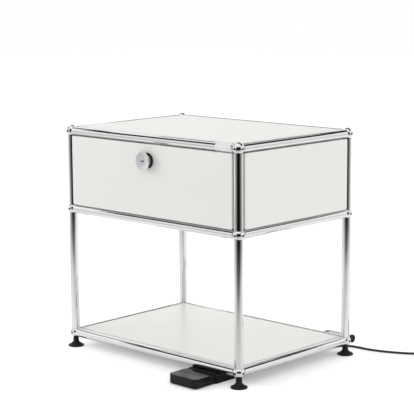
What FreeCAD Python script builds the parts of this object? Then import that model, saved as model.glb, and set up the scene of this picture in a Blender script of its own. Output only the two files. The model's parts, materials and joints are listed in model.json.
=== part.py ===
import FreeCAD, Part
import math
import os

from FreeCAD import Placement, Rotation, Vector

# Nightstand of chromed tubes and balls with sheet-steel panels, a drop-down door and a light in one rail.
# Millimetres. +X is the right of the front, +Y the back, +Z up. The origin is on the floor, in the middle
# of the part's box without its lead.

# Grid of the frame, measured between the middles of the balls
grid_width = 500.0
grid_depth = 350.0
upper_height = 175.0
lower_height = 285.0

# Balls, tubes and the plugs that join them
ball_diameter = 25.0
ball_bore_diameter = 5.0
ball_bore_depth = 7.5
tube_diameter = 19.0
tube_wall = 1.25
tube_seat_gap = 0.05
plug_length = 14.0
plug_gap = 0.05
stud_gap = 0.05
stud_end_gap = 0.3

# Levelling feet
foot_height = 19.2
foot_pad_diameter = 35.5
foot_rim_height = 3.2
foot_edge = 0.8
foot_neck_diameter = 13.0
foot_neck_start = 11.4
foot_gap = 0.3
foot_travel = 10.0
foot_stud_hold = 5.5
foot_stud_seat = 6.0

# Sheet-steel panels
sheet = 1.0
panel_recess = 0.5
panel_gap = 0.8
panel_flange = 12.0
panel_corner = 4.0
panel_bend = 1.5
clip_length = 24.0
clip_height = 5.0
clip_bite = 0.6
clip_seat_gap = 0.02
clip_place_share = 0.3

# Door, hinge clips and stops
door_flange = 9.0
hinge_inset = 41.0
hinge_width = 14.0
hinge_wall = 1.0
hinge_clearance = 0.05
hinge_seat = 0.05
hinge_pad_depth = 6.0
hinge_pad_sink = 0.6
hinge_rear_angle = 180.0
hinge_front_angle = 20.0
door_open_angle = 90.0
stop_pin_diameter = 2.5
stop_pin_proud = 0.9
stop_pin_fit = 0.05
stop_pin_angle = 20.0
stop_gap_angle = 2.0
stop_slot_gap = 0.5
notch_margin = 2.0
notch_above_axis = 4.0

# Knob and lock on the door
knob_drop = 45.0
knob_diameter = 40.0
knob_neck_diameter = 27.6
knob_base_diameter = 29.0
knob_height = 16.5
knob_rim = 2.2
knob_flare = 4.5
knob_dish = 0.6
knob_bow_out_share = 0.25
knob_bow_up_share = 0.67
knob_gap = 0.3
rosette_diameter = 33.0
rosette_thickness = 4.6
spindle_diameter = 10.0
spindle_clearance = 0.2
cylinder_diameter = 19.0
cylinder_clearance = 0.1
cylinder_floor = 7.0
cylinder_recess = 0.3
key_slot_length = 8.6
key_slot_width = 3.0
key_slot_depth = 6.0
case_width = 46.0
case_height = 40.0
case_depth = 10.4
case_corner = 5.0
cam_gap = 0.4
cam_thickness = 3.0
cam_length = 33.0
cam_width = 10.0
cam_hub_diameter = 18.0
cam_fit = 0.05
nut_across_corners = 17.0
nut_height = 4.0

# Keeper under the top front rail
keeper_left = 8.0
keeper_right = 28.0
keeper_thickness = 2.0
keeper_gap = 0.3
keeper_drop = 20.0
keeper_saddle = 1.25
keeper_start_angle = 112.0
keeper_end_angle = 178.0

# Touch sleeve on the top front rail
touch_length = 43.0
touch_wall = 0.35
touch_gap = 0.02
touch_inset = 3.0

# Light in the middle front rail: its slot looks down and back
light_hinge_gap = 2.0
light_slot_width = 7.0
light_angle = 45.0
light_fit = 0.1
light_wall = 0.8
light_depth = 7.2
light_recess = 0.3
light_board_width = 4.6
light_board_thickness = 1.2
light_lens_thickness = 1.6
light_cap_length = 3.0

# Power feed behind the right end of the bottom rear rail
feed_diameter = 18.0
feed_wall = 1.0
feed_length = 60.0
feed_rise = 0.0
feed_ball_gap = 0.3
feed_cap_length = 3.5
feed_overhang = 4.0
feed_spigot_length = 6.0
feed_spigot_gap = 0.05
feed_clip_length = 20.0
feed_clip_height = 10.0
feed_clip_bite = 3.0

# Foot dimmer on the floor
dimmer_x = 160.0
dimmer_front_y = -253.3
dimmer_length = 148.8
dimmer_width = 79.0
dimmer_height = 22.0
dimmer_corner = 10.0
dimmer_inner_corner = 2.5
dimmer_wall = 2.0
dimmer_edge = 1.2
dimmer_groove = 1.5
dimmer_pad_height = 1.0
dimmer_pad_diameter = 9.0
dimmer_pad_inset = 13.0
dimmer_floor = 3.0
pedal_length = 59.0
pedal_slope_length = 16.5
pedal_slope_drop = 1.1
pedal_skirt = 2.8
pedal_inner_gap = 1.2
pedal_pin_back = 6.5
pedal_pin_height = 9.0
pedal_pin_diameter = 3.0
pedal_pin_fit = 0.05
pedal_ear_width = 4.0
pedal_ear_radius = 4.0
pedal_ear_gap = 0.4
pedal_ear_place = 22.0
switch_size = 8.0
switch_front = 16.0
switch_height = 6.0
switch_plunger_diameter = 4.0
switch_plunger_gap = 1.7
board_length = 78.0
board_width = 60.0
board_thickness = 1.6
board_lift = 2.0
boss_diameter = 5.0
boss_inset = 6.0
gland_spread = 16.0
gland_length = 22.0
gland_height = 9.0
gland_root_diameter = 9.0
gland_tip_diameter = 6.4
gland_spigot_diameter = 6.0
gland_spigot_fit = 0.1

# Lead, its coil, tie and plug
cord_diameter = 5.0
cord_bend_share = 0.45
coil_radius = 33.0
coil_pitch = 5.6
coil_rise = 5.5
coil_turns_per_layer = 2
coil_height = 3.7
coil_tail = 28.0
tie_wall = 0.8
tie_width = 8.0
tie_gap = 0.3
tie_bow = 0.5
tie_corner = 2.0
mains_plug_width = 34.0
mains_plug_nose = 14.0
mains_plug_body = 26.0
mains_plug_tail_width = 10.0
mains_plug_corner = 7.0
mains_plug_tail_corner = 4.0
pin_diameter = 4.0
pin_length = 19.0
pin_spacing = 19.0
pin_seat = 5.0

# Route of the lead from the feed to the dimmer, then from the dimmer to the coil
feed_route = [
    (168.5, 194.15, 32.0),
    (148.0, 194.4, 31.0),
    (125.0, 195.2, 25.6),
    (102.0, 196.6, 14.6),
    (77.0, 195.0, 5.0),
    (50.0, 186.0, 2.7),
    (26.0, 166.0, 2.6),
    (13.0, 131.0, 2.6),
    (18.0, 88.0, 2.6),
    (41.0, 47.0, 2.6),
    (74.0, 12.0, 2.6),
    (108.0, -16.0, 2.7),
    (131.0, -41.0, 5.4),
    (142.0, -62.0, 8.4),
    (144.0, -82.5, 9.0),
]
mains_route = [
    (176.0, -82.5, 9.0),
    (176.4, -62.0, 8.3),
    (178.0, -36.0, 4.8),
    (178.6, -2.0, 2.7),
    (176.0, 52.0, 2.6),
    (177.0, 108.0, 2.6),
    (186.0, 160.0, 2.6),
    (196.0, 200.0, 2.6),
    (209.0, 226.0, 2.6),
    (238.0, 232.0, 2.6),
    (268.0, 232.0, 2.6),
    (297.0, 238.5, 2.6),
    (326.0, 249.5, 2.6),
    (354.0, 263.0, 2.8),
    (380.0, 279.0, 3.3),
    (405.0, 292.7, 3.7),
]

# Cuts run past their solid by this much
overrun = 2.0

# Sizes that follow from the ones above
ball_radius = ball_diameter / 2
tube_radius = tube_diameter / 2
tube_bore_radius = tube_radius - tube_wall
cord_radius = cord_diameter / 2
feed_radius = feed_diameter / 2
spindle_radius = spindle_diameter / 2
tube_start = math.sqrt(ball_radius**2 - tube_bore_radius**2) + tube_seat_gap
panel_face = tube_radius - panel_recess
panel_edge = tube_radius + panel_gap
hinge_seat_radius = tube_radius + hinge_clearance + hinge_wall + hinge_seat
front_reach = panel_face + knob_height
feed_offset = ball_radius + feed_ball_gap + feed_radius
rear_reach = feed_offset + feed_radius
grid_middle_y = (front_reach - rear_reach) / 2
light_length = grid_width - 2 * (hinge_inset + hinge_width / 2 + light_hinge_gap)
stop_pin_half_angle = math.degrees(math.asin(stop_pin_diameter / 2 / (tube_radius + stop_pin_proud)))

right_x = grid_width / 2
front_y = grid_middle_y - grid_depth / 2
rear_y = grid_middle_y + grid_depth / 2
bottom_z = foot_height + foot_gap + ball_radius
middle_z = bottom_z + lower_height
top_z = middle_z + upper_height

X = Vector(1, 0, 0)
Y = Vector(0, 1, 0)
Z = Vector(0, 0, 1)
FULL_TURN = 360.0
RIGHT_ANGLE = 90.0
HALF_TURN = 180.0
HEX_SIDES = 6
COIL_SAMPLES = 25
SAMPLES_APART = 12

nodes = {}


# Small helpers


def box(low, high):
    """A box between two opposite corners."""
    size = high - low
    return Part.makeBox(size.x, size.y, size.z, low)


def rod(radius, start, direction, length):
    """A round bar that starts at a point and runs along a direction."""
    return Part.makeCylinder(radius, length, start, direction)


def pipe(outer_radius, inner_radius, start, direction, length):
    """A hollow round bar."""
    outer = rod(outer_radius, start, direction, length)
    return outer.cut(rod(inner_radius, start, direction, length))


def oriented(shape, origin, across, up, out):
    """A copy of a shape whose own X, Y and Z turn to the three given directions, moved to an origin."""
    placed = shape.copy()
    placed.Placement = Placement(origin, Rotation(across, up, out, "ZXY")).multiply(placed.Placement)
    return placed


def rounded_outline(width, height, radii):
    """A closed wire round a rectangle centred on the origin, with a radius at each corner.

    The corners go anticlockwise from the one at the lower right."""
    half_width = width / 2
    half_height = height / 2
    corners = [(1, -1), (1, 1), (-1, 1), (-1, -1)]
    edges = []
    points = []
    for (side, end), radius in zip(corners, radii):
        corner = Vector(side * half_width, end * half_height, 0)
        along_height = corner - Vector(0, end * radius, 0)
        along_width = corner - Vector(side * radius, 0, 0)
        centre = corner - Vector(side * radius, end * radius, 0)
        middle = centre + Vector(side, end, 0).normalize() * radius
        first, last = (along_width, along_height) if side * end < 0 else (along_height, along_width)
        points.append((first, middle, last))
    for index, (first, middle, last) in enumerate(points):
        following = points[(index + 1) % len(points)][0]
        edges.append(Part.Arc(first, middle, last).toShape())
        edges.append(Part.LineSegment(last, following).toShape())
    return Part.Wire(edges)


def rounded_slab(width, height, radii, low, high):
    """A slab with rounded corners between two heights."""
    face = Part.Face(rounded_outline(width, height, radii))
    slab = face.extrude(Z * (high - low))
    slab.translate(Z * low)
    return slab


def even(radius):
    """The same radius at all four corners."""
    return (radius, radius, radius, radius)


def turned(profile, origin, out):
    """A solid turned from (radius, height) points and arcs about an axis through an origin."""
    face = Part.Face(Part.Wire(profile))
    solid = face.revolve(Vector(0, 0, 0), Z, FULL_TURN)
    across = Y.cross(out) if abs(out.dot(Y)) < abs(out.dot(Z)) else Z.cross(out)
    across.normalize()
    return oriented(solid, origin, across, out.cross(across), out)


def path_point(radius, height):
    """A point of a turned profile."""
    return Vector(radius, 0, height)


def polyline(points):
    """Straight edges through profile points, closed back to the first."""
    edges = []
    for first, last in zip(points, points[1:] + points[:1]):
        edges.append(Part.LineSegment(path_point(*first), path_point(*last)).toShape())
    return edges


def hexagon_bar(corner_radius, start, direction, length):
    """A six-sided bar."""
    across = Z if abs(direction.dot(Z)) < abs(direction.dot(X)) + abs(direction.dot(Y)) else X
    points = []
    for index in range(HEX_SIDES):
        turn = Rotation(direction, index * FULL_TURN / HEX_SIDES)
        points.append(start + turn.multVec(across * corner_radius))
    wire = Part.makePolygon(points + points[:1])
    return Part.Face(wire).extrude(direction * length)


def keep(name, *solids):
    """Store a node made of one or more separate solids."""
    shapes = [solid.removeSplitter() for solid in solids]
    nodes[name] = shapes[0] if len(shapes) == 1 else Part.makeCompound(shapes)


# Frame of balls and tubes


def corners_at(height):
    """The four ball middles of one level, each with its sides."""
    for side in (-1, 1):
        for end in (-1, 1):
            y = front_y if end < 0 else rear_y
            yield Vector(side * right_x, y, height), side, end


def ball(centre, foot_bore):
    """A ball with a threaded bore on each of its six sides, drawn at the thread's core size."""
    solid = Part.makeSphere(ball_radius, centre)
    for direction in (X, -X, Y, -Y, Z, -Z):
        deep = foot_bore and direction == -Z
        depth = foot_stud_hold + foot_travel + stud_end_gap if deep else ball_bore_depth
        start = centre + direction * (ball_radius - depth)
        solid = solid.cut(rod(ball_bore_diameter / 2, start, direction, depth + overrun))
    return solid


def make_balls():
    for name, height in (("top", top_z), ("middle", middle_z), ("bottom", bottom_z)):
        foot_bore = name == "bottom"
        keep("balls_" + name, *[ball(centre, foot_bore) for centre, side, end in corners_at(height)])


def tube_between(first, last):
    """A tube that seats on two balls."""
    direction = (last - first).normalize()
    length = (last - first).Length - 2 * tube_start
    return pipe(tube_radius, tube_bore_radius, first + direction * tube_start, direction, length)


def connector(centre, direction):
    """A plug in a tube's end, with the stud that screws it to the ball."""
    stud_start = ball_radius - ball_bore_depth + stud_end_gap
    plug_start = ball_radius + plug_gap
    stud = rod(ball_bore_diameter / 2 - stud_gap, centre + direction * stud_start, direction, ball_bore_depth)
    plug = hexagon_bar(tube_bore_radius - plug_gap, centre + direction * plug_start, direction, plug_length)
    return plug.fuse(stud)


def rail_ends(name, height):
    """Both ball middles of the horizontal rail on one side of a level."""
    corners = {(side, end): centre for centre, side, end in corners_at(height)}
    pairs = {
        "front": ((-1, -1), (1, -1)),
        "rear": ((-1, 1), (1, 1)),
        "left": ((-1, -1), (-1, 1)),
        "right": ((1, -1), (1, 1)),
    }
    first, last = pairs[name]
    return corners[first], corners[last]


def make_tubes():
    runs = {}
    for post_name, low, high in (("posts_lower", bottom_z, middle_z), ("posts_upper", middle_z, top_z)):
        runs[post_name] = []
        for (first, side, end), (last, _, _) in zip(corners_at(low), corners_at(high)):
            runs[post_name].append((first, last))
    levels = (("bottom", bottom_z), ("middle", middle_z), ("top", top_z))
    runs["side_rails"] = [rail_ends(side, height) for _, height in levels for side in ("left", "right")]
    runs["rear_rails"] = [rail_ends("rear", height) for _, height in levels]
    for level, height in levels:
        runs["front_" + level + "_rail"] = [rail_ends("front", height)]
    connectors = []
    for name, pairs in runs.items():
        solids = [tube_between(first, last) for first, last in pairs]
        if name == "front_middle_rail":
            solids = [light_rail(solids[0])]
        keep(name, *solids)
        for first, last in pairs:
            direction = (last - first).normalize()
            connectors.append(connector(first, direction))
            connectors.append(connector(last, -direction))
    keep("tube_connectors", *connectors)


# Feet: a moulded glide on a threaded stud, one set for each corner


def foot_glide(place):
    pad = foot_pad_diameter / 2
    neck = foot_neck_diameter / 2
    seat_top = foot_height - foot_stud_seat
    stud = ball_bore_diameter / 2 - stud_gap
    flare_bottom = path_point(pad - foot_edge, foot_rim_height)
    flare_top = path_point(neck, foot_neck_start)
    bow = (flare_bottom + flare_top) / 2 - Vector(foot_edge, 0, foot_edge)
    outline = [
        (stud, foot_height),
        (stud, seat_top),
        (0, seat_top),
        (0, 0),
        (pad - foot_edge, 0),
        (pad, foot_edge),
        (pad, foot_rim_height - foot_edge),
        (pad - foot_edge, foot_rim_height),
    ]
    edges = polyline(outline)[:-1]
    edges.append(Part.Arc(flare_bottom, bow, flare_top).toShape())
    edges.append(Part.LineSegment(flare_top, path_point(neck, foot_height)).toShape())
    edges.append(Part.LineSegment(path_point(neck, foot_height), path_point(stud, foot_height)).toShape())
    return turned(edges, place, Z)


def make_feet():
    names = {(-1, -1): "front_left", (1, -1): "front_right", (-1, 1): "rear_left", (1, 1): "rear_right"}
    stud_radius = ball_bore_diameter / 2 - stud_gap
    stud_length = foot_stud_seat + foot_gap + foot_stud_hold + foot_travel
    for centre, side, end in corners_at(bottom_z):
        floor_point = Vector(centre.x, centre.y, 0)
        stud_start = floor_point + Z * (foot_height - foot_stud_seat)
        keep("foot_glide_" + names[side, end], foot_glide(floor_point))
        keep("foot_stud_" + names[side, end], rod(stud_radius, stud_start, Z, stud_length))


# Panels


def pan(width, height, depth):
    """A sheet pan: face up at zero, folded rims below it, rounded where the face meets the rims."""
    shell = rounded_slab(width, height, even(panel_corner), -depth, 0)
    rim = [edge for edge in shell.Edges if abs(edge.BoundBox.ZMin) < sheet / 2]
    shell = shell.makeFillet(panel_bend, rim)
    inner = rounded_slab(
        width - 2 * sheet, height - 2 * sheet, even(panel_corner - sheet), -depth - overrun, -sheet
    )
    return shell.cut(inner)


def edge_clip(half_span, place):
    """A saddle between one rim of a panel and the tube beside it, in the panel's own axes."""
    axis_x = half_span + panel_edge
    low = Vector(half_span, place - clip_length / 2, -panel_face - clip_height / 2)
    high = Vector(half_span + panel_gap + clip_bite, place + clip_length / 2, -panel_face + clip_height / 2)
    tube = rod(tube_radius + clip_seat_gap, Vector(axis_x, -grid_width, -panel_face), Y, 2 * grid_width)
    return box(low, high).cut(tube)


def pan_clips(width, height):
    """Two clips on each of the four rims."""
    clips = []
    for half_span, length, turn in (
        (width / 2, height, 0.0),
        (height / 2, width, RIGHT_ANGLE),
        (width / 2, height, HALF_TURN),
        (height / 2, width, HALF_TURN + RIGHT_ANGLE),
    ):
        for sign in (-1, 1):
            clip = edge_clip(half_span, sign * clip_place_share * length)
            clip.rotate(Vector(0, 0, 0), Z, turn)
            clips.append(clip)
    return clips


def make_panels():
    wide = grid_width - 2 * panel_edge
    deep = grid_depth - 2 * panel_edge
    tall = upper_height - 2 * panel_edge
    side_z = (middle_z + top_z) / 2
    places = {
        "top_panel": (wide, deep, Vector(0, grid_middle_y, top_z + panel_face), X, Y, Z),
        "floor_panel": (wide, deep, Vector(0, grid_middle_y, middle_z + panel_face), X, Y, Z),
        "shelf_panel": (wide, deep, Vector(0, grid_middle_y, bottom_z + panel_face), X, Y, Z),
        "left_panel": (deep, tall, Vector(-right_x - panel_face, grid_middle_y, side_z), -Y, Z, -X),
        "right_panel": (deep, tall, Vector(right_x + panel_face, grid_middle_y, side_z), Y, Z, X),
        "back_panel": (wide, tall, Vector(0, rear_y + panel_face, side_z), -X, Z, Y),
    }
    clips = []
    for name, (width, height, origin, across, up, out) in places.items():
        panel = oriented(pan(width, height, panel_flange), origin, across, up, out)
        if name == "floor_panel":
            for side in (-1, 1):
                panel = panel.cut(hinge_notch(side))
        keep(name, panel)
        clips += [oriented(clip, origin, across, up, out) for clip in pan_clips(width, height)]
    keep("panel_clips", *clips)


def hinge_notch(side):
    """The space cut from the floor panel's front rim for a hinge clip."""
    x = side * (right_x - hinge_inset)
    half = hinge_width / 2 + notch_margin
    low = Vector(x - half, front_y, middle_z - panel_flange)
    high = Vector(x + half, front_y + panel_edge + sheet + overrun, middle_z + notch_above_axis)
    return box(low, high)


# Door with its hinge clips, stops, knob and lock


def make_door():
    width = grid_width - 2 * panel_edge
    bottom = middle_z + hinge_seat_radius
    height = top_z - panel_edge - bottom
    face_y = front_y - panel_face
    origin = Vector(0, face_y, bottom + height / 2)
    door = oriented(pan(width, height, door_flange), origin, X, Z, -Y)
    hole = rod(spindle_radius + spindle_clearance, knob_point(-sheet - overrun), -Y, sheet + 2 * overrun)
    keep("door_panel", door.cut(hole))
    keep("hinge_clips", *[hinge_clip(side * (right_x - hinge_inset)) for side in (-1, 1)])
    keep("door_stop_pins", *[stop_pin(side * (right_x - hinge_inset)) for side in (-1, 1)])


def rail_band(x, half_width, inner, outer, start_angle, end_angle):
    """A band round the middle front rail between two angles, counted from the top towards the front."""
    section = Part.makePolygon(
        [
            Vector(x - half_width, 0, inner),
            Vector(x + half_width, 0, inner),
            Vector(x + half_width, 0, outer),
            Vector(x - half_width, 0, outer),
            Vector(x - half_width, 0, inner),
        ]
    )
    band = Part.Face(section)
    band.rotate(Vector(0, 0, 0), X, start_angle)
    return band.revolve(Vector(0, 0, 0), X, end_angle - start_angle)


def hinge_clip(x):
    """A spring clip that grips the rail from behind over more than half its round, with a pad under the door.

    A slot in it takes the stop pin and is as long as the door's travel."""
    inner = tube_radius + hinge_clearance
    half = hinge_width / 2
    ring = rail_band(x, half, inner, inner + hinge_wall, -hinge_rear_angle, hinge_front_angle)
    pad = box(
        Vector(x - half, -hinge_pad_depth, hinge_seat_radius - hinge_pad_sink),
        Vector(x + half, 0, hinge_seat_radius),
    )
    slot_half = stop_pin_diameter / 2 + stop_slot_gap
    reach = stop_pin_half_angle + stop_gap_angle
    slot_start = -stop_pin_angle - door_open_angle - reach
    slot_end = -stop_pin_angle + reach
    slot = rail_band(x, slot_half, tube_radius, inner + hinge_wall + overrun, slot_start, slot_end)
    clip = ring.fuse(pad).cut(slot)
    clip.translate(Vector(0, front_y, middle_z))
    return clip


def stop_pin_direction():
    """Where a stop pin stands on the rail, just behind its top."""
    return Rotation(X, -stop_pin_angle).multVec(Z)


def stop_pin(x):
    out = stop_pin_direction()
    start = Vector(x, front_y, middle_z) + out * tube_bore_radius
    return rod(stop_pin_diameter / 2, start, out, tube_wall + stop_pin_proud)


def knob_point(out):
    """A point on the knob's axis, counted outwards from the door's face."""
    return Vector(0, front_y - panel_face - out, top_z - knob_drop)


def make_knob():
    spindle_end = -sheet - case_depth - cam_gap - cam_thickness - nut_height
    base = rosette_thickness + knob_gap
    neck = knob_neck_diameter / 2
    rim = knob_diameter / 2
    flare_start = knob_height - knob_rim - knob_flare
    bore = cylinder_diameter / 2 + cylinder_clearance
    dish = knob_height - knob_dish
    edges = polyline(
        [
            (0, spindle_end),
            (spindle_radius, spindle_end),
            (spindle_radius, base),
            (knob_base_diameter / 2, base),
            (neck, flare_start),
        ]
    )[:-1]
    flare_bottom = path_point(neck, flare_start)
    flare_top = path_point(rim, knob_height - knob_rim)
    bow = path_point(neck + knob_bow_out_share * (rim - neck), flare_start + knob_bow_up_share * knob_flare)
    edges.append(Part.Arc(flare_bottom, bow, flare_top).toShape())
    rim_middle = path_point(rim + knob_rim / 4, knob_height - knob_rim / 2)
    face_edge = path_point(rim - knob_rim / 2, knob_height)
    edges.append(Part.Arc(flare_top, rim_middle, face_edge).toShape())
    rest = [(face_edge.x, face_edge.z), (bore + knob_rim / 2, dish), (bore, dish), (bore, cylinder_floor)]
    rest += [(0, cylinder_floor), (0, spindle_end)]
    edges += polyline(rest)[:-1]
    keep("knob", turned(edges, knob_point(0), -Y))
    cylinder_start = cylinder_floor + cylinder_clearance
    cylinder_length = dish - cylinder_recess - cylinder_start
    cylinder = rod(cylinder_diameter / 2, knob_point(cylinder_start), -Y, cylinder_length)
    front = knob_point(dish - cylinder_recess)
    slot_half = Vector(key_slot_length / 2, 0, key_slot_width / 2)
    slot = box(front - slot_half - Y * overrun, front + slot_half + Y * key_slot_depth)
    keep("lock_cylinder", cylinder.cut(slot))
    ring_hole = spindle_radius + spindle_clearance
    keep("knob_rosette", pipe(rosette_diameter / 2, ring_hole, knob_point(0), -Y, rosette_thickness))


def make_lock():
    case = rounded_slab(case_width, case_height, even(case_corner), 0, case_depth)
    case = case.cut(rod(spindle_radius + spindle_clearance, -Z * overrun, Z, case_depth + 2 * overrun))
    keep("lock_case", oriented(case, knob_point(-sheet), -X, Z, Y))
    cam_start = sheet + case_depth + cam_gap
    hub = rod(cam_hub_diameter / 2, Vector(0, 0, 0), Z, cam_thickness)
    arm_end = cam_length - cam_width / 2
    arm = box(Vector(0, -cam_width / 2, 0), Vector(arm_end, cam_width / 2, cam_thickness))
    tip = rod(cam_width / 2, X * arm_end, Z, cam_thickness)
    cam = hub.fuse(arm).fuse(tip).removeSplitter()
    cam = cam.cut(rod(spindle_radius + cam_fit, -Z * overrun, Z, cam_thickness + 2 * overrun))
    keep("latch_cam", oriented(cam, knob_point(-cam_start), -X, Z, Y))
    nut_start = cam_start + cam_thickness
    nut = hexagon_bar(nut_across_corners / 2, knob_point(-nut_start), Y, nut_height)
    nut_bore = rod(spindle_radius + cam_fit, knob_point(-nut_start + overrun), Y, nut_height + 2 * overrun)
    keep("cam_nut", nut.cut(nut_bore))


def make_keeper():
    """A saddle behind the top front rail with a plate that hangs down behind the door's upper rim."""
    inner = tube_radius + touch_gap
    section = Part.makePolygon(
        [
            Vector(-keeper_left, 0, inner),
            Vector(keeper_right, 0, inner),
            Vector(keeper_right, 0, inner + keeper_saddle),
            Vector(-keeper_left, 0, inner + keeper_saddle),
            Vector(-keeper_left, 0, inner),
        ]
    )
    saddle = Part.Face(section)
    saddle.rotate(Vector(0, 0, 0), X, -keeper_start_angle)
    saddle = saddle.revolve(Vector(0, 0, 0), X, keeper_start_angle - keeper_end_angle)
    plate = box(
        Vector(-keeper_left, keeper_gap, -keeper_drop),
        Vector(keeper_right, keeper_gap + keeper_thickness, -inner),
    )
    keeper = saddle.fuse(plate)
    keeper.translate(Vector(0, front_y, top_z))
    keep("door_keeper", keeper)


# Light and its touch sleeve


def light_box(half_width, low, high, half_length):
    """A box in the light's own axes: along the rail, across the slot and out through it."""
    shape = box(Vector(-half_length, -half_width, low), Vector(half_length, half_width, high))
    out = Rotation(X, HALF_TURN + light_angle).multVec(Z)
    return oriented(shape, Vector(0, front_y, middle_z), X, out.cross(X), out)


def light_rail(tube):
    """The middle front rail with the light's slot and the holes of the door's stop pins."""
    slot = light_box(light_slot_width / 2, 0, tube_radius + overrun, light_length / 2)
    rail = tube.cut(slot)
    out = stop_pin_direction()
    for side in (-1, 1):
        axis_point = Vector(side * (right_x - hinge_inset), front_y, middle_z)
        rail = rail.cut(rod(stop_pin_diameter / 2 + stop_pin_fit, axis_point, out, tube_diameter))
    return rail


def make_light():
    half = light_slot_width / 2 - light_fit
    mouth = tube_radius - light_recess
    root = mouth - light_depth
    half_length = light_length / 2 - light_fit
    inner_half_length = half_length - light_cap_length
    carrier = light_box(half, root, mouth, inner_half_length)
    trough = light_box(half - light_wall, root + light_wall, mouth + overrun, half_length)
    keep("light_carrier", carrier.cut(trough))
    floor = root + light_wall
    board_top = floor + light_board_thickness
    keep("light_board", light_box(light_board_width / 2, floor, board_top, inner_half_length))
    lens_half = half - light_wall - light_fit
    keep("light_lens", light_box(lens_half, mouth - light_lens_thickness, mouth, inner_half_length))
    whole = light_box(half, root, mouth, half_length)
    caps = whole.cut(light_box(half + overrun, root - overrun, mouth + overrun, inner_half_length))
    keep("light_end_caps", *caps.Solids)
    sleeve_start = right_x - tube_start - touch_inset - touch_length
    start = Vector(sleeve_start, front_y, top_z)
    sleeve_bore = tube_radius + touch_gap
    keep("touch_sleeve", pipe(sleeve_bore + touch_wall, sleeve_bore, start, X, touch_length))


# Power feed


def make_feed():
    axis_y = rear_y + feed_offset
    axis_z = bottom_z + feed_rise
    right_end = right_x + feed_overhang - feed_cap_length
    left_end = right_end - feed_length
    sleeve_start = Vector(left_end, axis_y, axis_z)
    keep("feed_sleeve", pipe(feed_radius, feed_radius - feed_wall, sleeve_start, X, feed_length))
    spigot = feed_radius - feed_wall - feed_spigot_gap
    cap = rod(feed_radius, Vector(right_end, axis_y, axis_z), X, feed_cap_length)
    keep("feed_cap", cap.fuse(rod(spigot, Vector(right_end, axis_y, axis_z), -X, feed_spigot_length)))
    gland = Part.makeCone(feed_radius, gland_tip_diameter / 2, gland_length, sleeve_start, -X)
    keep("feed_gland", gland.fuse(rod(spigot, sleeve_start, X, feed_spigot_length)))
    clip_x = (left_end + right_end) / 2
    low_y = rear_y + tube_radius - feed_clip_bite
    high_y = axis_y - feed_radius + feed_clip_bite
    half = Vector(feed_clip_length / 2, 0, feed_clip_height / 2)
    clip_z = bottom_z + feed_rise / 2
    block = box(Vector(clip_x, low_y, clip_z) - half, Vector(clip_x, high_y, clip_z) + half)
    for radius, y, z in ((tube_radius, rear_y, bottom_z), (feed_radius, axis_y, axis_z)):
        start = Vector(clip_x - feed_clip_length, y, z)
        block = block.cut(rod(radius + clip_seat_gap, start, X, 2 * feed_clip_length))
    keep("feed_clip", block)


# Foot dimmer


def dimmer_block(length, width, front, low, high, front_corner, rear_corner):
    """A slab of the dimmer, placed by how far back its front lies."""
    radii = (front_corner, rear_corner, rear_corner, front_corner)
    slab = rounded_slab(width, length, radii, low, high)
    slab.translate(Vector(dimmer_x, dimmer_front_y + front + length / 2, 0))
    return slab


def rounded_top(slab):
    """A slab whose upper rim is rounded."""
    top = slab.BoundBox.ZMax
    rim = [edge for edge in slab.Edges if abs(edge.BoundBox.ZMin - top) < dimmer_edge / 2]
    return slab.makeFillet(dimmer_edge, rim)


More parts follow.
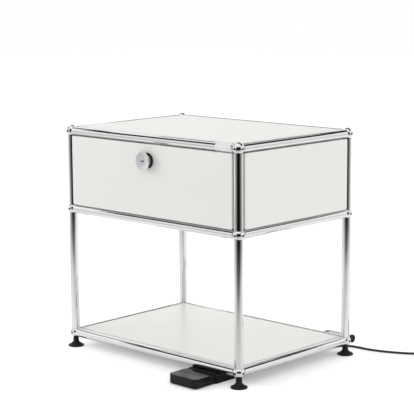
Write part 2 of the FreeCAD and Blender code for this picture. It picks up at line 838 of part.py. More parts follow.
def make_dimmer():
    cover_front = pedal_length + dimmer_groove
    cover_length = dimmer_length - cover_front
    base_low = dimmer_pad_height
    base_top = base_low + dimmer_floor
    inset = dimmer_wall + pedal_inner_gap
    tongue_width = dimmer_width - 2 * inset
    tongue_length = cover_front + dimmer_corner - inset
    tongue = dimmer_block(
        tongue_length, tongue_width, inset, base_low, base_top, dimmer_corner - inset, dimmer_inner_corner
    )
    plate = dimmer_block(
        cover_length,
        dimmer_width,
        cover_front,
        base_low,
        base_top,
        dimmer_inner_corner,
        dimmer_corner,
    )
    base = plate.fuse(tongue)
    pin_y = dimmer_front_y + pedal_length - pedal_pin_back
    for side in (-1, 1):
        base = base.fuse(pin_ear(side * pedal_ear_place, pin_y, base_low))
    cover_middle_y = dimmer_front_y + cover_front + cover_length / 2
    for side in (-1, 1):
        for end in (-1, 1):
            x = dimmer_x + side * (board_width / 2 - boss_inset)
            y = cover_middle_y + end * (board_length / 2 - boss_inset)
            base = base.fuse(rod(boss_diameter / 2, Vector(x, y, base_low), Z, dimmer_floor + board_lift))
    pin_bore = pedal_pin_diameter / 2 + pedal_pin_fit
    pin_low = Vector(dimmer_x - dimmer_width, pin_y, pedal_pin_height)
    keep("dimmer_base", base.cut(rod(pin_bore, pin_low, X, 2 * dimmer_width)))

    cover = rounded_top(
        dimmer_block(
            cover_length,
            dimmer_width,
            cover_front,
            base_top,
            dimmer_height,
            dimmer_inner_corner,
            dimmer_corner,
        )
    )
    hollow = dimmer_block(
        cover_length - 2 * dimmer_wall,
        dimmer_width - 2 * dimmer_wall,
        cover_front + dimmer_wall,
        base_low,
        dimmer_height - dimmer_wall,
        dimmer_inner_corner,
        dimmer_corner - dimmer_wall,
    )
    cover = cover.cut(hollow)
    rear_y_face = dimmer_front_y + dimmer_length
    glands = []
    for side in (-1, 1):
        root = Vector(dimmer_x + side * gland_spread, rear_y_face, gland_height)
        spigot_radius = gland_spigot_diameter / 2
        hole_start = root - Y * (dimmer_wall + overrun)
        cover = cover.cut(rod(spigot_radius + gland_spigot_fit, hole_start, Y, gland_length))
        cone = Part.makeCone(gland_root_diameter / 2, gland_tip_diameter / 2, gland_length, root, Y)
        glands.append(cone.fuse(rod(spigot_radius, root, -Y, dimmer_wall)))
    keep("dimmer_cover", cover)
    keep("dimmer_glands", *glands)

    pedal = rounded_top(
        dimmer_block(
            pedal_length, dimmer_width, 0, pedal_skirt, dimmer_height, dimmer_corner, dimmer_inner_corner
        )
    )
    pedal_hollow = dimmer_block(
        pedal_length - 2 * dimmer_wall,
        dimmer_width - 2 * dimmer_wall,
        dimmer_wall,
        0,
        dimmer_height - dimmer_wall,
        dimmer_corner - dimmer_wall,
        dimmer_inner_corner,
    )
    rear_gate = dimmer_block(
        dimmer_wall + 2 * overrun,
        tongue_width + 2 * pedal_inner_gap,
        pedal_length - dimmer_wall - overrun,
        0,
        base_top + pedal_inner_gap,
        dimmer_edge,
        dimmer_edge,
    )
    pedal = pedal.cut(pedal_hollow).cut(rear_gate).cut(pedal_slope())
    ear_step = pedal_ear_width + pedal_ear_gap
    for side in (-1, 1):
        hanger_root = dimmer_height - dimmer_wall / 2
        pedal = pedal.fuse(pin_ear(side * (pedal_ear_place + ear_step), pin_y, hanger_root))
    keep("dimmer_pedal", pedal.cut(rod(pin_bore, pin_low, X, 2 * dimmer_width)))

    pin_half = pedal_ear_place + ear_step + pedal_ear_width / 2
    pin_start = Vector(dimmer_x - pin_half, pin_y, pedal_pin_height)
    keep("dimmer_hinge_pin", rod(pedal_pin_diameter / 2, pin_start, X, 2 * pin_half))

    switch_y = dimmer_front_y + switch_front
    half = Vector(switch_size / 2, switch_size / 2, 0)
    middle = Vector(dimmer_x, switch_y, base_top)
    switch = box(middle - half, middle + half + Z * switch_height)
    plunger_top = dimmer_height - dimmer_wall - switch_plunger_gap
    plunger = rod(switch_plunger_diameter / 2, middle, Z, plunger_top - base_top)
    keep("dimmer_switch", switch.fuse(plunger))

    board_low = base_top + board_lift
    corner = Vector(board_width / 2, board_length / 2, 0)
    board_middle = Vector(dimmer_x, cover_middle_y, board_low)
    keep("dimmer_board", box(board_middle - corner, board_middle + corner + Z * board_thickness))

    pads = []
    for side in (-1, 1):
        for along in (dimmer_pad_inset, dimmer_length - dimmer_pad_inset):
            x = dimmer_x + side * (dimmer_width / 2 - dimmer_pad_inset)
            place = Vector(x, dimmer_front_y + along, 0)
            pads.append(rod(dimmer_pad_diameter / 2, place, Z, dimmer_pad_height))
    keep("dimmer_pads", *pads)


def pedal_slope():
    """The wedge above the pedal's rear end, whose lower face falls from a faint ridge to the groove."""
    ridge = dimmer_front_y + pedal_length - pedal_slope_length
    rear = dimmer_front_y + pedal_length
    left = dimmer_x - dimmer_width
    wedge = Part.makePolygon(
        [
            Vector(left, ridge, dimmer_height),
            Vector(left, rear, dimmer_height - pedal_slope_drop),
            Vector(left, rear, dimmer_height + overrun),
            Vector(left, ridge, dimmer_height + overrun),
            Vector(left, ridge, dimmer_height),
        ]
    )
    return Part.Face(wedge).extrude(X * (2 * dimmer_width))


def pin_ear(x, y, root):
    """A round-ended ear about the pedal's pin, standing on the base or hanging from the pedal."""
    start = Vector(dimmer_x + x - pedal_ear_width / 2, y, pedal_pin_height)
    eye = rod(pedal_ear_radius, start, X, pedal_ear_width)
    low = Vector(start.x, y - pedal_ear_radius, min(root, pedal_pin_height))
    high = Vector(start.x + pedal_ear_width, y + pedal_ear_radius, max(root, pedal_pin_height))
    return eye.fuse(box(low, high))


# Lead, coil, tie and plug


def round_tube(edges, start, direction):
    """A round tube swept along a path."""
    path = Part.Wire(edges)
    circle = Part.Wire(Part.Circle(start, direction, cord_radius).toShape())
    tube = path.makePipeShell([circle], True, False)
    straight_volume = math.pi * cord_radius**2 * path.Length
    print("  tube volume over section times length:", round(tube.Volume / straight_volume, 4))
    return tube


def lead_along(name, route):
    """A tube through a route's points: straight runs joined by arcs as large as the runs allow."""
    points = [Vector(*point) for point in route]
    edges = []
    radii = []
    last = points[0]
    for before, corner, after in zip(points, points[1:], points[2:]):
        into = (corner - before).normalize()
        out = (after - corner).normalize()
        turn = into.getAngle(out)
        reach = cord_bend_share * min((corner - before).Length, (after - corner).Length)
        radius = reach / math.tan(turn / 2)
        radii.append(round(radius, 1))
        start = corner - into * reach
        end = corner + out * reach
        inward = (out - into).normalize()
        middle = corner + inward * (radius / math.cos(turn / 2) - radius)
        edges.append(Part.LineSegment(last, start).toShape())
        edges.append(Part.Arc(start, middle, end).toShape())
        last = end
    edges.append(Part.LineSegment(last, points[-1]).toShape())
    print(name, "length", round(sum(edge.Length for edge in edges), 1), "bend radii", radii)
    keep(name, round_tube(edges, points[0], points[1] - points[0]))


def coil_frame():
    """The coil's middle, and its directions across and along at the end where the lead comes in."""
    before, entry = [Vector(*point) for point in mains_route[-2:]]
    along = Vector(entry.x - before.x, entry.y - before.y, 0).normalize()
    across = along.cross(Z)
    return entry - across * coil_radius - Z * entry.z, across, along


def coil_stations():
    """Where the turns cross the coil's line through its middle: inwards below, then outwards above."""
    half_pitch = coil_pitch / 2
    half_turns = 2 * coil_turns_per_layer
    radii = [coil_radius - half_pitch * step for step in range(half_turns + 2)]
    stations = [(radius, coil_height) for radius in radii[:-1]]
    upper = coil_height + coil_rise
    stations.append((radii[-1], upper))
    radius = radii[-1] + coil_pitch
    for _ in range(half_turns + 1):
        stations.append((radius, upper))
        radius += half_pitch
    signs = [1 if index % 2 == 0 else -1 for index in range(len(stations))]
    return [(sign * radius, height) for sign, (radius, height) in zip(signs, stations)]


def make_coil():
    middle, across, along = coil_frame()
    stations = coil_stations()
    points = [middle + across * offset + Z * height for offset, height in stations]
    edges = []
    sampled = []
    for index, (first, last) in enumerate(zip(points, points[1:])):
        forward = along if index % 2 == 0 else -along
        top = (first + last) / 2 + forward * ((last - first).Length / 2)
        edges.append(Part.Arc(first, top, last).toShape())
        sampled += edges[-1].discretize(Number=COIL_SAMPLES)[:-1]
    tail_direction = along if len(stations) % 2 else -along
    tail_end = points[-1] + tail_direction * coil_tail
    edges.append(Part.LineSegment(points[-1], tail_end).toShape())
    length = round(sum(edge.Length for edge in edges), 1)
    print("mains_coil length", length, "least self gap", self_gap(sampled))
    keep("mains_coil", round_tube(edges, points[0], along))
    make_tie(middle, across, along, stations)
    make_plug(tail_end, tail_direction)


def self_gap(points):
    """The least clear distance between stretches of the coil that aren't neighbours along it."""
    least = math.inf
    for index, point in enumerate(points):
        for other in points[index + SAMPLES_APART :]:
            least = min(least, point.distanceToPoint(other))
    return round(least - cord_diameter, 2)


def make_tie(middle, across, along, stations):
    """A flat band round all the turns, on the side away from the lead's entry."""
    offsets = [-offset for offset, height in stations if offset < 0]
    low = min(offsets) - cord_radius - tie_gap - tie_bow
    high = max(offsets) + cord_radius + tie_gap
    bottom = coil_height - cord_radius - tie_gap
    top = coil_height + coil_rise + cord_radius + tie_gap
    width = high - low
    height = top - bottom
    band = rounded_slab(
        width + 2 * tie_wall,
        height + 2 * tie_wall,
        even(tie_corner + tie_wall),
        -tie_width / 2,
        tie_width / 2,
    )
    band = band.cut(rounded_slab(width, height, even(tie_corner), -tie_width, tie_width))
    centre = middle - across * ((low + high) / 2) + Z * ((bottom + top) / 2)
    keep("coil_tie", oriented(band, centre, -across, Z, -across.cross(Z)))


def make_plug(start, direction):
    """A flat moulded plug that swells from the lead to its face, with two round pins."""
    thickness = 2 * start.z
    sections = (
        (mains_plug_tail_width, mains_plug_tail_width, mains_plug_tail_corner, 0),
        (mains_plug_width, thickness, mains_plug_corner, mains_plug_body),
        (mains_plug_width, thickness, mains_plug_corner, mains_plug_body + mains_plug_nose),
    )
    wires = []
    for width, height, corner, place in sections:
        wire = rounded_outline(width, height, even(corner))
        wire.translate(Z * place)
        wires.append(wire)
    sideways = direction.cross(Z)
    body = Part.makeLoft(wires, True, True)
    face = mains_plug_body + mains_plug_nose
    pins = []
    for side in (-1, 1):
        seat = Vector(side * pin_spacing / 2, 0, face - pin_seat)
        body = body.cut(rod(pin_diameter / 2, seat, Z, pin_seat + overrun))
        pins.append(rod(pin_diameter / 2, seat, Z, pin_seat + pin_length))
    up = direction.cross(sideways)
    keep("plug_body", oriented(body, start, sideways, up, direction))
    keep("plug_pins", *[oriented(pin, start, sideways, up, direction) for pin in pins])


def main():
    make_balls()
    make_tubes()
    make_feet()
    make_panels()
    make_door()
    make_knob()
    make_lock()
    make_keeper()
    make_light()
    make_feed()
    make_dimmer()
    lead_along("feed_lead", feed_route)
    lead_along("mains_lead", mains_route)
    make_coil()
    os.makedirs("parts", exist_ok=True)
    for name, shape in nodes.items():
        shape.exportStep("parts/" + name + ".step")
    print(len(nodes), "nodes")


main()
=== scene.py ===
import json
import math

import bmesh
import bpy
from mathutils import Matrix, Vector


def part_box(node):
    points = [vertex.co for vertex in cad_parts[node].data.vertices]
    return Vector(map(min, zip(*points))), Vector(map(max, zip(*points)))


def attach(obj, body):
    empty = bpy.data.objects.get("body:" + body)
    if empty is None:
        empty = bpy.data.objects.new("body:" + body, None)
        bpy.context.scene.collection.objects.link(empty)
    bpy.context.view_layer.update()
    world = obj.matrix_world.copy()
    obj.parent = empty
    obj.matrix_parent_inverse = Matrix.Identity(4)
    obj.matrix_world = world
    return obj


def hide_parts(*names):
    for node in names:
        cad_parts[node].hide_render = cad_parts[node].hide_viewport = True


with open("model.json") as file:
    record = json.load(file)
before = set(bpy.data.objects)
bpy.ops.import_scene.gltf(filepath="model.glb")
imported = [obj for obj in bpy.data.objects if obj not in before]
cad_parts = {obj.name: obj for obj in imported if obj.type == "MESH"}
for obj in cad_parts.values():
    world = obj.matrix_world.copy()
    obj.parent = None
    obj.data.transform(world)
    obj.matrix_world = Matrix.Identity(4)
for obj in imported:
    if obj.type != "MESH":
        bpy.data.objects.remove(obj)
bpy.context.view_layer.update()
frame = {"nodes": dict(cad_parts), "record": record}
nodes = frame["nodes"]
scene = bpy.context.scene
scene.view_settings.view_transform = "Standard"

MM = 0.001


def add_node(tree, kind, **values):
    """A new node with these properties."""
    node = tree.nodes.new(kind)
    for key, value in values.items():
        setattr(node, key, value)
    return node


# Materials

# The middle part of a noise texture's values, which holds most of them
NOISE_LOW = 0.3
NOISE_HIGH = 0.7
NOISE_ROUGHNESS = 0.55


class Shader:
    """A material with a Principled surface and short ways to add procedural detail to it."""

    def __init__(self, name):
        self.material = bpy.data.materials.new(name)
        self.material.use_nodes = True
        self.tree = self.material.node_tree
        self.surface = self.tree.nodes["Principled BSDF"]
        self.places = self.add("ShaderNodeTexCoord").outputs

    def add(self, kind, **values):
        return add_node(self.tree, kind, **values)

    def link(self, source, target):
        self.tree.links.new(source, target)

    def set(self, **values):
        """Constants on the surface's own sockets, with _ for the spaces in their names."""
        for key, value in values.items():
            self.surface.inputs[key.replace("_", " ")].default_value = value
        return self

    def stretched(self, scale):
        """Object coordinates multiplied per axis."""
        node = self.add("ShaderNodeMapping")
        node.inputs["Scale"].default_value = scale
        self.link(self.places["Object"], node.inputs["Vector"])
        return node.outputs["Vector"]

    def noise(self, scale, detail=4.0, coords=None):
        node = self.add("ShaderNodeTexNoise")
        node.inputs["Scale"].default_value = scale
        node.inputs["Detail"].default_value = detail
        node.inputs["Roughness"].default_value = NOISE_ROUGHNESS
        self.link(coords or self.places["Object"], node.inputs["Vector"])
        return node.outputs["Fac"]

    def between(self, value, low, high, start=NOISE_LOW, end=NOISE_HIGH):
        """Goes from low to high while the value goes from start to end."""
        node = self.add("ShaderNodeMapRange")
        node.inputs["From Min"].default_value = start
        node.inputs["From Max"].default_value = end
        node.inputs["To Min"].default_value = low
        node.inputs["To Max"].default_value = high
        self.link(value, node.inputs["Value"])
        return node.outputs["Result"]

    def colours(self, value, first, last):
        """Gives the surface a colour between two, and returns the socket with that colour."""
        node = self.add("ShaderNodeValToRGB")
        start, end = node.color_ramp.elements
        start.position = NOISE_LOW
        start.color = (*first, 1)
        end.position = NOISE_HIGH
        end.color = (*last, 1)
        self.link(value, node.inputs["Fac"])
        self.link(node.outputs["Color"], self.surface.inputs["Base Color"])
        return node.outputs["Color"]

    def roughness(self, value, low, high):
        self.link(self.between(value, low, high), self.surface.inputs["Roughness"])

    def bump(self, value, strength, distance):
        node = self.add("ShaderNodeBump")
        node.inputs["Strength"].default_value = strength
        node.inputs["Distance"].default_value = distance
        self.link(value, node.inputs["Height"])
        self.link(node.outputs["Normal"], self.surface.inputs["Normal"])


def shade(colour, share):
    return tuple(min(1.0, channel * share) for channel in colour)


def chrome_material():
    shader = Shader("chrome").set(Metallic=1.0)
    colour = (0.82, 0.825, 0.835)
    shader.colours(shader.noise(60.0), shade(colour, 0.965), colour)
    shader.roughness(shader.noise(220.0, detail=6.0), low=0.035, high=0.075)
    shader.bump(shader.noise(90.0, detail=2.0), strength=0.03, distance=0.0004)
    return shader.material


def spun_chrome_material():
    """Turned and plated: its gloss runs round the knob's axis, Y. Its rim is darker than its face, which is
    painted shade for the dark room that the rim reflects.
    """
    rim_painted_shade_share = 0.45
    shader = Shader("spun_chrome").set(Metallic=1.0, Anisotropic=0.85)
    colour = (0.87, 0.88, 0.89)
    plain = shader.colours(shader.noise(150.0), shade(colour, 0.95), colour)
    shader.roughness(shader.noise(400.0, detail=5.0), low=0.17, high=0.24)
    # Painted shade: the colour is darkened where the surface turns away from the knob's axis, so the rim
    # stands darker, for the dark room it reflects
    axes = shader.add("ShaderNodeSeparateXYZ")
    shader.link(shader.places["Normal"], axes.inputs["Vector"])
    facing_front = shader.add("ShaderNodeMath", operation="ABSOLUTE")
    shader.link(axes.outputs["Y"], facing_front.inputs[0])
    share = shader.between(facing_front.outputs["Value"], rim_painted_shade_share, 1.0, start=0.3, end=0.7)
    painted_rim_shade = shader.add("ShaderNodeVectorMath", operation="SCALE")
    shader.link(plain, painted_rim_shade.inputs[0])
    shader.link(share, painted_rim_shade.inputs["Scale"])
    shader.link(painted_rim_shade.outputs["Vector"], shader.surface.inputs["Base Color"])
    tangent = shader.add("ShaderNodeTangent", direction_type="RADIAL", axis="Y")
    shader.link(tangent.outputs["Tangent"], shader.surface.inputs["Tangent"])
    return shader.material


def panel_material():
    shader = Shader("panel_white").set(IOR=1.45)
    colour = (0.815, 0.822, 0.785)
    shader.colours(shader.noise(7.0, detail=3.0), shade(colour, 0.992), colour)
    shader.roughness(shader.noise(160.0, detail=5.0), low=0.27, high=0.34)
    shader.bump(shader.noise(1500.0, detail=2.0), strength=0.10, distance=0.0003)
    return shader.material


def moulded_material(name, colour, low, high, grain=1900.0, strength=0.18, gloss=0.5):
    """Plastic or rubber with a roughness from low to high and a fine grain."""
    shader = Shader(name).set(IOR=1.46, Specular_IOR_Level=gloss)
    shader.colours(shader.noise(80.0), shade(colour, 0.8), shade(colour, 1.2))
    shader.roughness(shader.noise(500.0), low, high)
    shader.bump(shader.noise(grain, detail=3.0), strength, distance=0.0002)
    return shader.material


def plated_material(name, colour, low, high, stretch, metallic=1.0):
    """Metal with a roughness from low to high, in streaks where the stretch differs per axis."""
    shader = Shader(name).set(Metallic=metallic)
    shader.colours(shader.noise(120.0), shade(colour, 0.88), colour)
    shader.roughness(shader.noise(300.0, coords=shader.stretched(stretch)), low, high)
    shader.bump(shader.noise(900.0, coords=shader.stretched(stretch)), strength=0.06, distance=0.0002)
    return shader.material


def lens_material():
    shader = Shader("light_lens").set(IOR=1.49, Transmission_Weight=0.25)
    colour = (0.90, 0.90, 0.88)
    shader.colours(shader.noise(40.0), shade(colour, 0.97), colour)
    shader.roughness(shader.noise(600.0), low=0.22, high=0.32)
    shader.bump(shader.noise(2500.0), strength=0.05, distance=0.0002)
    return shader.material


def cord_material():
    shader = Shader("cord").set(IOR=1.5)
    colour = (0.016, 0.016, 0.017)
    shader.colours(shader.noise(90.0), shade(colour, 0.8), shade(colour, 1.25))
    shader.roughness(shader.noise(350.0), low=0.34, high=0.48)
    shader.bump(shader.noise(1400.0), strength=0.08, distance=0.0002)
    return shader.material


steel = plated_material("steel", (0.62, 0.62, 0.63), low=0.26, high=0.40, stretch=(1.0, 1.0, 8.0))
# Painted shade: this dark steel colours the balls' threads and the keyhole's plates, standing in for the
# shade in those holes
painted_shade_steel = plated_material("painted_shade_steel", (0.07, 0.07, 0.075), low=0.40, high=0.55, stretch=(1.0, 1.0, 1.0))
cord_black = cord_material()

by_slot = {
    "chrome": chrome_material(),
    "panel_white": panel_material(),
    "black_plastic": moulded_material(
        "black_plastic", (0.010, 0.010, 0.011), low=0.36, high=0.50, gloss=0.22
    ),
    "steel": steel,
    "satin_metal": plated_material(
        "satin_metal", (0.92, 0.92, 0.93), low=0.32, high=0.42, stretch=(1.0, 12.0, 12.0), metallic=0.45
    ),
    "light_lens": lens_material(),
    "circuit_board": moulded_material("circuit_board", (0.03, 0.12, 0.06), low=0.30, high=0.42, grain=700.0),
    "rubber": moulded_material("rubber", (0.018, 0.018, 0.018), low=0.60, high=0.78),
    "cord": cord_black,
    "plug_metal": plated_material(
        "plug_metal", (0.72, 0.68, 0.58), low=0.18, high=0.30, stretch=(1.0, 1.0, 6.0)
    ),
}
own_material = {
    "knob": spun_chrome_material(),
    "dimmer_pedal": moulded_material(
        "pedal_plastic", (0.009, 0.009, 0.011), low=0.15, high=0.21, grain=1500.0, strength=0.08, gloss=0.25
    ),
}


def dress(piece, material):
    piece.data.materials.clear()
    piece.data.materials.append(material)


for part in frame["record"]["subparts"]:
    dress(nodes[part["node"]], own_material.get(part["node"], by_slot[part["material_slot"]]))


# Cords


def millimetres(points):
    return [Vector(point) * MM for point in points]


FEED_ROUTE = millimetres(
    [
        (168.5, 194.15, 32.0),
        (148.0, 194.4, 31.0),
        (125.0, 195.2, 25.6),
        (102.0, 196.6, 14.6),
        (77.0, 195.0, 5.0),
        (50.0, 186.0, 2.7),
        (26.0, 166.0, 2.6),
        (13.0, 131.0, 2.6),
        (18.0, 88.0, 2.6),
        (41.0, 47.0, 2.6),
        (74.0, 12.0, 2.6),
        (108.0, -16.0, 2.7),
        (131.0, -41.0, 5.4),
        (142.0, -62.0, 8.4),
        (144.0, -82.5, 9.0),
    ]
)
MAINS_ROUTE = millimetres(
    [
        (176.0, -82.5, 9.0),
        (176.4, -62.0, 8.3),
        (178.0, -36.0, 4.8),
        (178.6, -2.0, 2.7),
        (176.0, 52.0, 2.6),
        (177.0, 108.0, 2.6),
        (186.0, 160.0, 2.6),
        (196.0, 200.0, 2.6),
        (209.0, 226.0, 2.6),
        (238.0, 232.0, 2.6),
        (268.0, 232.0, 2.6),
        (297.0, 238.5, 2.6),
        (326.0, 249.5, 2.6),
        (354.0, 263.0, 2.8),
        (380.0, 279.0, 3.3),
        (405.0, 292.7, 3.7),
    ]
)
CORD_DIAMETER = 5.0 * MM
CORD_ROUNDNESS = 4
CORD_SMOOTHNESS = 8
COIL_RADIUS = 33.0 * MM
COIL_PITCH = 5.6 * MM
COIL_RISE = 5.5 * MM
COIL_HEIGHT = 3.7 * MM
COIL_TAIL = 28.0 * MM
INWARD_CROSSINGS = 6
OUTWARD_CROSSINGS = 5
HALF_TURN_POINTS = 8
LENGTH_STEPS = 16


def coil_stations():
    """Signed radius and height where the turns cross a line through the coil's middle.

    They run inwards in a lower layer, then outwards in an upper one.
    """
    radii = [COIL_RADIUS - COIL_PITCH / 2 * step for step in range(INWARD_CROSSINGS)]
    stations = [(radius, COIL_HEIGHT) for radius in radii[:-1]]
    inner = radii[-1]
    upper = COIL_HEIGHT + COIL_RISE
    stations.append((inner, upper))
    stations += [(inner + COIL_PITCH + COIL_PITCH / 2 * step, upper) for step in range(OUTWARD_CROSSINGS)]
    return [(radius * (-1) ** index, height) for index, (radius, height) in enumerate(stations)]


def coil_points():
    """Control points of the coil's turns, then the end of its straight tail."""
    entry = MAINS_ROUTE[-1]
    heading = Vector((entry.x - MAINS_ROUTE[-2].x, entry.y - MAINS_ROUTE[-2].y, 0)).normalized()
    across = heading.cross(Vector((0, 0, 1)))
    middle = Vector((entry.x, entry.y, 0)) - across * COIL_RADIUS
    stations = coil_stations()
    step = math.pi / HALF_TURN_POINTS
    points = []
    for index, ((first, low), (last, high)) in enumerate(zip(stations, stations[1:])):
        forward = heading if index % 2 == 0 else -heading
        centre = (first + last) / 2
        side = 1 if first > 0 else -1
        reach = abs(first - last) / 2 / math.cos(step / 2)
        for count in range(HALF_TURN_POINTS):
            angle = (count + 0.5) * step
            offset = centre + side * reach * math.cos(angle)
            height = low + (high - low) * (1 - math.cos(angle)) / 2
            flat = middle + across * offset + forward * reach * math.sin(angle)
            points.append(flat + Vector((0, 0, height)))
    offset, height = stations[-1]
    end = middle + across * offset + Vector((0, 0, height))
    return points, end + heading * COIL_TAIL


def cord_curve(name, points):
    data = bpy.data.curves.new(name, "CURVE")
    data.dimensions = "3D"
    data.bevel_depth = CORD_DIAMETER / 2
    data.bevel_resolution = CORD_ROUNDNESS
    data.resolution_u = CORD_SMOOTHNESS
    data.use_fill_caps = True
    spline = data.splines.new("NURBS")
    spline.points.add(len(points) - 1)
    for target, point in zip(spline.points, points):
        target.co = (*point, 1.0)
    spline.order_u = 3
    spline.use_endpoint_u = True
    cord = bpy.data.objects.new(name, data)
    scene.collection.objects.link(cord)
    data.materials.append(cord_black)
    return cord


def curve_length(points):
    """Length of the clamped quadratic curve over these control points."""
    length = 0.0
    halfway = [(before + after) / 2 for before, after in zip(points[1:-2], points[2:-1])]
    joints = [points[0]] + halfway + [points[-1]]
    for start, control, end in zip(joints, points[1:-1], joints[1:]):
        last = start
        for count in range(1, LENGTH_STEPS + 1):
            share = count / LENGTH_STEPS
            rest = 1 - share
            point = start * rest**2 + control * 2 * share * rest + end * share**2
            length += (point - last).length
            last = point
    return length


feed_cord = cord_curve("feed_cord", FEED_ROUTE)
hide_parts("feed_lead")
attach(feed_cord, "frame")
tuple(FEED_ROUTE[0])
curve_length(FEED_ROUTE)

turns, tail_end = coil_points()
mains_points = MAINS_ROUTE[:-1] + turns + [tail_end]
mains_cord = cord_curve("mains_cord", mains_points)
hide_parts("mains_lead", "mains_coil")
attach(mains_cord, "frame")
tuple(MAINS_ROUTE[0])
curve_length(mains_points)


# Small details, in millimetres: threads in the free holes of the balls, dark plates in the keyhole as
# painted shade, and the lock's screws

SHARP_ANGLE = math.radians(35)


def add_piece(name, form, material, body):
    """Turns a finished bmesh into a piece that rides on a body."""
    bmesh.ops.recalc_face_normals(form, faces=form.faces)
    mesh = bpy.data.meshes.new(name)
    form.to_mesh(mesh)
    form.free()
    mesh.materials.append(material)
    mesh.shade_smooth()
    mesh.set_sharp_from_angle(angle=SHARP_ANGLE)
    piece = bpy.data.objects.new(name, mesh)
    scene.collection.objects.link(piece)
    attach(piece, body)


def node_corners(name):
    return [Vector(corner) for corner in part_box(name)]


def facing(direction):
    """A rotation that turns +Z to a direction."""
    return Vector((0, 0, 1)).rotation_difference(direction).to_matrix()


def circle_point(radius, share, height):
    angle = 2 * math.pi * share
    return Vector((radius * math.cos(angle), radius * math.sin(angle), height))


BALL_RADIUS = 12.5
BORE_RADIUS = 2.5
BORE_DEPTH = 7.0
THREAD_PITCH = 1.0
THREAD_DEPTH = 0.45
THREAD_GAP = 0.03
THREAD_STEPS = 20


def add_thread(form, mouth, inward):
    """A helical ridge on the wall of a hole, from its mouth inwards."""
    turn = facing(inward)
    count = int(BORE_DEPTH / THREAD_PITCH) * THREAD_STEPS
    outer = BORE_RADIUS - THREAD_GAP
    roots, crests = [], []
    for step in range(count + 1):
        share = step / THREAD_STEPS
        height = share * THREAD_PITCH
        root = circle_point(outer, share, height)
        crest = circle_point(outer - THREAD_DEPTH, share, height + THREAD_PITCH / 2)
        roots.append(form.verts.new(mouth + turn @ root * MM))
        crests.append(form.verts.new(mouth + turn @ crest * MM))
    for step in range(count):
        form.faces.new((roots[step], roots[step + 1], crests[step + 1], crests[step]))
    for step in range(count - THREAD_STEPS):
        below = step + THREAD_STEPS
        form.faces.new((crests[step], crests[step + 1], roots[below + 1], roots[below]))


def free_holes():
    """Mouth and outward direction of every hole in the balls that holds no stud."""
    mouth = math.sqrt(BALL_RADIUS**2 - BORE_RADIUS**2) * MM
    for name in ("balls_top", "balls_middle", "balls_bottom"):
        low, high = node_corners(name)
        middle = (low + high) / 2
        reach = (high - low) / 2 - Vector((mouth, mouth, 0))
        for side in (-1, 1):
            for end in (-1, 1):
                centre = middle + Vector((side * reach.x, end * reach.y, 0))
                outward = [Vector((side, 0, 0)), Vector((0, end, 0))]
                if name == "balls_top":
                    outward.append(Vector((0, 0, 1)))
                for direction in outward:
                    yield centre + direction * mouth, direction


def make_threads():
    form = bmesh.new()
    for mouth, direction in free_holes():
        add_thread(form, mouth, -direction)
    # The balls' threads are real, and their dark colour is painted shade for the depth of the holes
    add_piece("ball_threads", form, painted_shade_steel, "frame")


# Painted shade: two dark plates close the keyhole a little below the cylinder's face, standing in for the
# shade in its depth
KEYHOLE_SHADE_LENGTH = 8.2
KEYHOLE_SHADE_HEIGHT = 1.3
KEYHOLE_SHADE_THICKNESS = 1.0
KEYHOLE_SHADE_DEPTH = 1.0
KEYHOLE_SHADE_SPLIT = 0.15
KEYHOLE_SHADE_BEVEL = 0.2


def make_keyhole_shade():
    """Two dark plates that close the keyhole, a little below the cylinder's face: painted shade for the
    keyhole's depth.
    """
    low, high = node_corners("lock_cylinder")
    middle = (low + high) / 2
    face = Vector((middle.x, low.y, middle.z))
    size = Matrix.Diagonal((KEYHOLE_SHADE_LENGTH * MM, KEYHOLE_SHADE_THICKNESS * MM, KEYHOLE_SHADE_HEIGHT * MM, 1))
    form = bmesh.new()
    for side in (-1, 1):
        rise = side * (KEYHOLE_SHADE_SPLIT + KEYHOLE_SHADE_HEIGHT) / 2
        place = face + Vector((0, KEYHOLE_SHADE_DEPTH + KEYHOLE_SHADE_THICKNESS / 2, rise)) * MM
        bmesh.ops.create_cube(form, size=1.0, matrix=Matrix.Translation(place) @ size)
    bmesh.ops.bevel(form, geom=form.edges[:], offset=KEYHOLE_SHADE_BEVEL * MM, segments=2, affect="EDGES")
    add_piece("keyhole_shade", form, painted_shade_steel, "lock")


SCREW_INSET = 6.0
SCREW_STEPS = 28
# Radius and height above the case's face, over the head and into its socket
SCREW_HEAD = (
    (3.0, -0.2),
    (3.0, 0.5),
    (2.7, 1.1),
    (2.0, 1.6),
    (1.45, 1.75),
    (1.3, 1.7),
    (1.25, 0.6),
    (0.2, 0.5),
)


def add_screw(form, place, direction):
    """A closed turned head that starts at a place and faces a direction."""
    turn = facing(direction)
    rings = []
    for radius, height in SCREW_HEAD:
        shares = [step / SCREW_STEPS for step in range(SCREW_STEPS)]
        points = [place + turn @ circle_point(radius, share, height) * MM for share in shares]
        rings.append([form.verts.new(point) for point in points])
    for low, high in zip(rings, rings[1:]):
        for step in range(SCREW_STEPS):
            following = (step + 1) % SCREW_STEPS
            form.faces.new((low[step], low[following], high[following], high[step]))
    form.faces.new(rings[0])
    form.faces.new(rings[-1])


def make_lock_screws():
    """Two socket screws in opposite corners of the lock's case, outside the lever's swing."""
    low, high = node_corners("lock_case")
    inset = Vector((SCREW_INSET, 0, SCREW_INSET)) * MM
    form = bmesh.new()
    for place in (low + inset, high - inset):
        place.y = high.y
        add_screw(form, place, Vector((0, 1, 0)))
    add_piece("lock_screws", form, steel, "door")


# Studio, in metres: a white sweep under even light, with the dark room behind the camera and dark boards
# that only reflections show

CAMERA_PLACE = Vector((2160.4, -2281.95, 847.2)) * MM
CAMERA_YAW = math.radians(-43.508)
CAMERA_PITCH = math.radians(-9.440)
CAMERA_ROLL = math.radians(-0.335)
CAMERA_LENS = 125.27
CAMERA_SENSOR = 36.0
CAMERA_CLIP = (0.1, 100.0)

